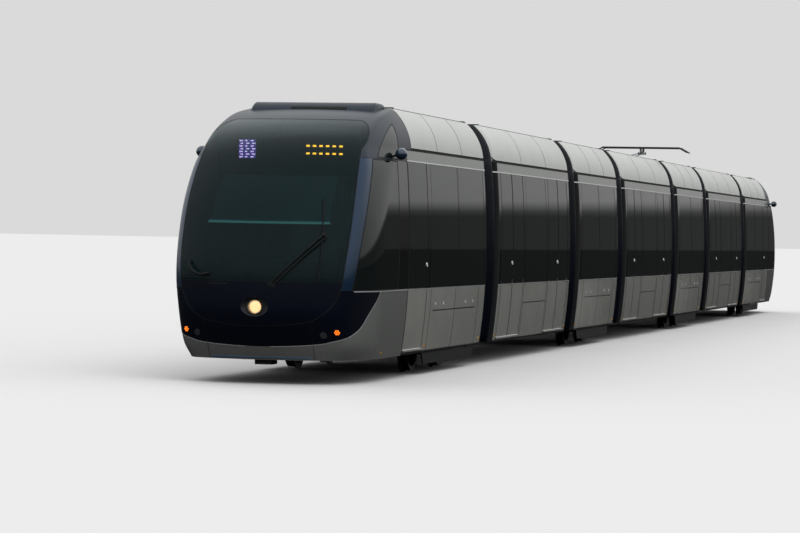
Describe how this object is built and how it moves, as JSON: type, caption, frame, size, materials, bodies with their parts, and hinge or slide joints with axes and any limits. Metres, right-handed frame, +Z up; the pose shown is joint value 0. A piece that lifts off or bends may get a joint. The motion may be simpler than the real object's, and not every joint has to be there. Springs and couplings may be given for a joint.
{
  "type": "low-floor articulated tram, 1:2 scale model",
  "caption": "Articulated low-floor tram of short linked cars with rounded cabs at both ends, bogies, bellows gangways and a folding roof pantograph.",
  "frame": {"origin": "middle of the tram's length and width, at the lowest point of the wheel flanges", "axes": "+X forward along the track, +Y to the tram's left, +Z up"},
  "size_m": [21.84, 1.31, 1.8266],
  "materials": {
    "side_paint": "gloss grey paint",
    "roof_paint": "light silver paint",
    "tinted_glass": "dark tinted, flush",
    "door_paint": "gloss grey paint",
    "seat_fabric": "woven",
    "bogie_paint": "satin dark grey",
    "wheel_steel": "bright tread",
    "bellows_rubber": "matt, folded",
    "nose_paint": "gloss midnight blue",
    "fittings": "gloss",
    "pantograph_alloy": "satin"
  },
  "bodies": {
    "car_1": {"body_1": "side_paint", "roof_1": "roof_paint", "glazing_1": "tinted_glass", "seats_1": "seat_fabric", "doors_1": "door_paint", "front_nose": "nose_paint", "front_fittings": "fittings", "bogie_1": "bogie_paint", "gangway_1": "bellows_rubber"},
    "car_2": {"body_2": "side_paint", "roof_2": "roof_paint", "glazing_2": "tinted_glass", "seats_2": "seat_fabric", "doors_2": "door_paint"},
    "car_3": {"body_3": "side_paint", "roof_3": "roof_paint", "glazing_3": "tinted_glass", "seats_3": "seat_fabric", "bogie_2": "bogie_paint", "gangway_2": "bellows_rubber", "gangway_3": "bellows_rubber"},
    "car_4": {"body_4": "side_paint", "roof_4": "roof_paint", "glazing_4": "tinted_glass", "seats_4": "seat_fabric", "doors_4": "door_paint"},
    "car_5": {"body_5": "side_paint", "roof_5": "roof_paint", "glazing_5": "tinted_glass", "seats_5": "seat_fabric", "bogie_3": "bogie_paint", "pantograph_base": "pantograph_alloy", "gangway_4": "bellows_rubber", "gangway_5": "bellows_rubber"},
    "car_6": {"body_6": "side_paint", "roof_6": "roof_paint", "glazing_6": "tinted_glass", "seats_6": "seat_fabric", "doors_6": "door_paint"},
    "car_7": {"body_7": "side_paint", "roof_7": "roof_paint", "glazing_7": "tinted_glass", "seats_7": "seat_fabric", "doors_7": "door_paint", "rear_nose": "nose_paint", "rear_fittings": "fittings", "bogie_4": "bogie_paint", "gangway_6": "bellows_rubber"},
    "wheelset_1": {"wheelset_1": "wheel_steel"},
    "wheelset_2": {"wheelset_2": "wheel_steel"},
    "wheelset_3": {"wheelset_3": "wheel_steel"},
    "wheelset_4": {"wheelset_4": "wheel_steel"},
    "wheelset_5": {"wheelset_5": "wheel_steel"},
    "wheelset_6": {"wheelset_6": "wheel_steel"},
    "wheelset_7": {"wheelset_7": "wheel_steel"},
    "wheelset_8": {"wheelset_8": "wheel_steel"},
    "pantograph_lower_arm": {"pantograph_lower_arm": "pantograph_alloy"},
    "pantograph_upper_arm": {"pantograph_upper_arm": "pantograph_alloy"},
    "pantograph_head": {"pantograph_head": "pantograph_alloy"}
  },
  "joints": [
    {"name": "articulation_1", "type": "hinge", "parent": "car_2", "child": "car_1", "pos_m": [7.145, 0, 0.187], "axis": [0, 0, 1], "range_deg": [-12, 12], "deforming": ["gangway_1"]},
    {"name": "articulation_2", "type": "hinge", "parent": "car_3", "child": "car_2", "pos_m": [3.935, 0, 0.187], "axis": [0, 0, 1], "range_deg": [-12, 12], "deforming": ["gangway_2"]},
    {"name": "articulation_3", "type": "hinge", "parent": "car_4", "child": "car_3", "pos_m": [1.605, 0, 0.187], "axis": [0, 0, 1], "range_deg": [-12, 12], "deforming": ["gangway_3"]},
    {"name": "articulation_4", "type": "hinge", "parent": "car_4", "child": "car_5", "pos_m": [-1.605, 0, 0.187], "axis": [0, 0, 1], "range_deg": [-12, 12], "deforming": ["gangway_4"]},
    {"name": "articulation_5", "type": "hinge", "parent": "car_5", "child": "car_6", "pos_m": [-3.935, 0, 0.187], "axis": [0, 0, 1], "range_deg": [-12, 12], "deforming": ["gangway_5"]},
    {"name": "articulation_6", "type": "hinge", "parent": "car_6", "child": "car_7", "pos_m": [-7.145, 0, 0.187], "axis": [0, 0, 1], "range_deg": [-12, 12], "deforming": ["gangway_6"]},
    {"name": "wheelset_1_turn", "type": "hinge", "parent": "car_1", "child": "wheelset_1", "pos_m": [8.685, 0, 0.1595], "axis": [0, 1, 0], "continuous": true},
    {"name": "wheelset_2_turn", "type": "hinge", "parent": "car_1", "child": "wheelset_2", "pos_m": [7.885, 0, 0.1595], "axis": [0, 1, 0], "continuous": true},
    {"name": "wheelset_3_turn", "type": "hinge", "parent": "car_3", "child": "wheelset_3", "pos_m": [3.17, 0, 0.1595], "axis": [0, 1, 0], "continuous": true},
    {"name": "wheelset_4_turn", "type": "hinge", "parent": "car_3", "child": "wheelset_4", "pos_m": [2.37, 0, 0.1595], "axis": [0, 1, 0], "continuous": true},
    {"name": "wheelset_5_turn", "type": "hinge", "parent": "car_5", "child": "wheelset_5", "pos_m": [-2.37, 0, 0.1595], "axis": [0, 1, 0], "continuous": true},
    {"name": "wheelset_6_turn", "type": "hinge", "parent": "car_5", "child": "wheelset_6", "pos_m": [-3.17, 0, 0.1595], "axis": [0, 1, 0], "continuous": true},
    {"name": "wheelset_7_turn", "type": "hinge", "parent": "car_7", "child": "wheelset_7", "pos_m": [-7.885, 0, 0.1595], "axis": [0, 1, 0], "continuous": true},
    {"name": "wheelset_8_turn", "type": "hinge", "parent": "car_7", "child": "wheelset_8", "pos_m": [-8.685, 0, 0.1595], "axis": [0, 1, 0], "continuous": true},
    {"name": "pantograph_lower_arm_pivot", "type": "hinge", "parent": "car_5", "child": "pantograph_lower_arm", "pos_m": [-3.2, 0, 1.61], "axis": [0, -1, 0], "range_deg": [0, 50]},
    {"name": "pantograph_upper_arm_pivot", "type": "hinge", "parent": "pantograph_lower_arm", "child": "pantograph_upper_arm", "pos_m": [-2.35466, 0, 1.69885], "axis": [0, -1, 0], "range_deg": [-100, 0]},
    {"name": "pantograph_head_pivot", "type": "hinge", "parent": "pantograph_upper_arm", "child": "pantograph_head", "pos_m": [-3.25246, 0, 1.76163], "axis": [0, -1, 0], "range_deg": [0, 50]}
  ],
  "couplings": [
    {"joint": "pantograph_upper_arm_pivot", "follows": "pantograph_lower_arm_pivot", "ratio": -2},
    {"joint": "pantograph_head_pivot", "follows": "pantograph_lower_arm_pivot", "ratio": 1}
  ]
}
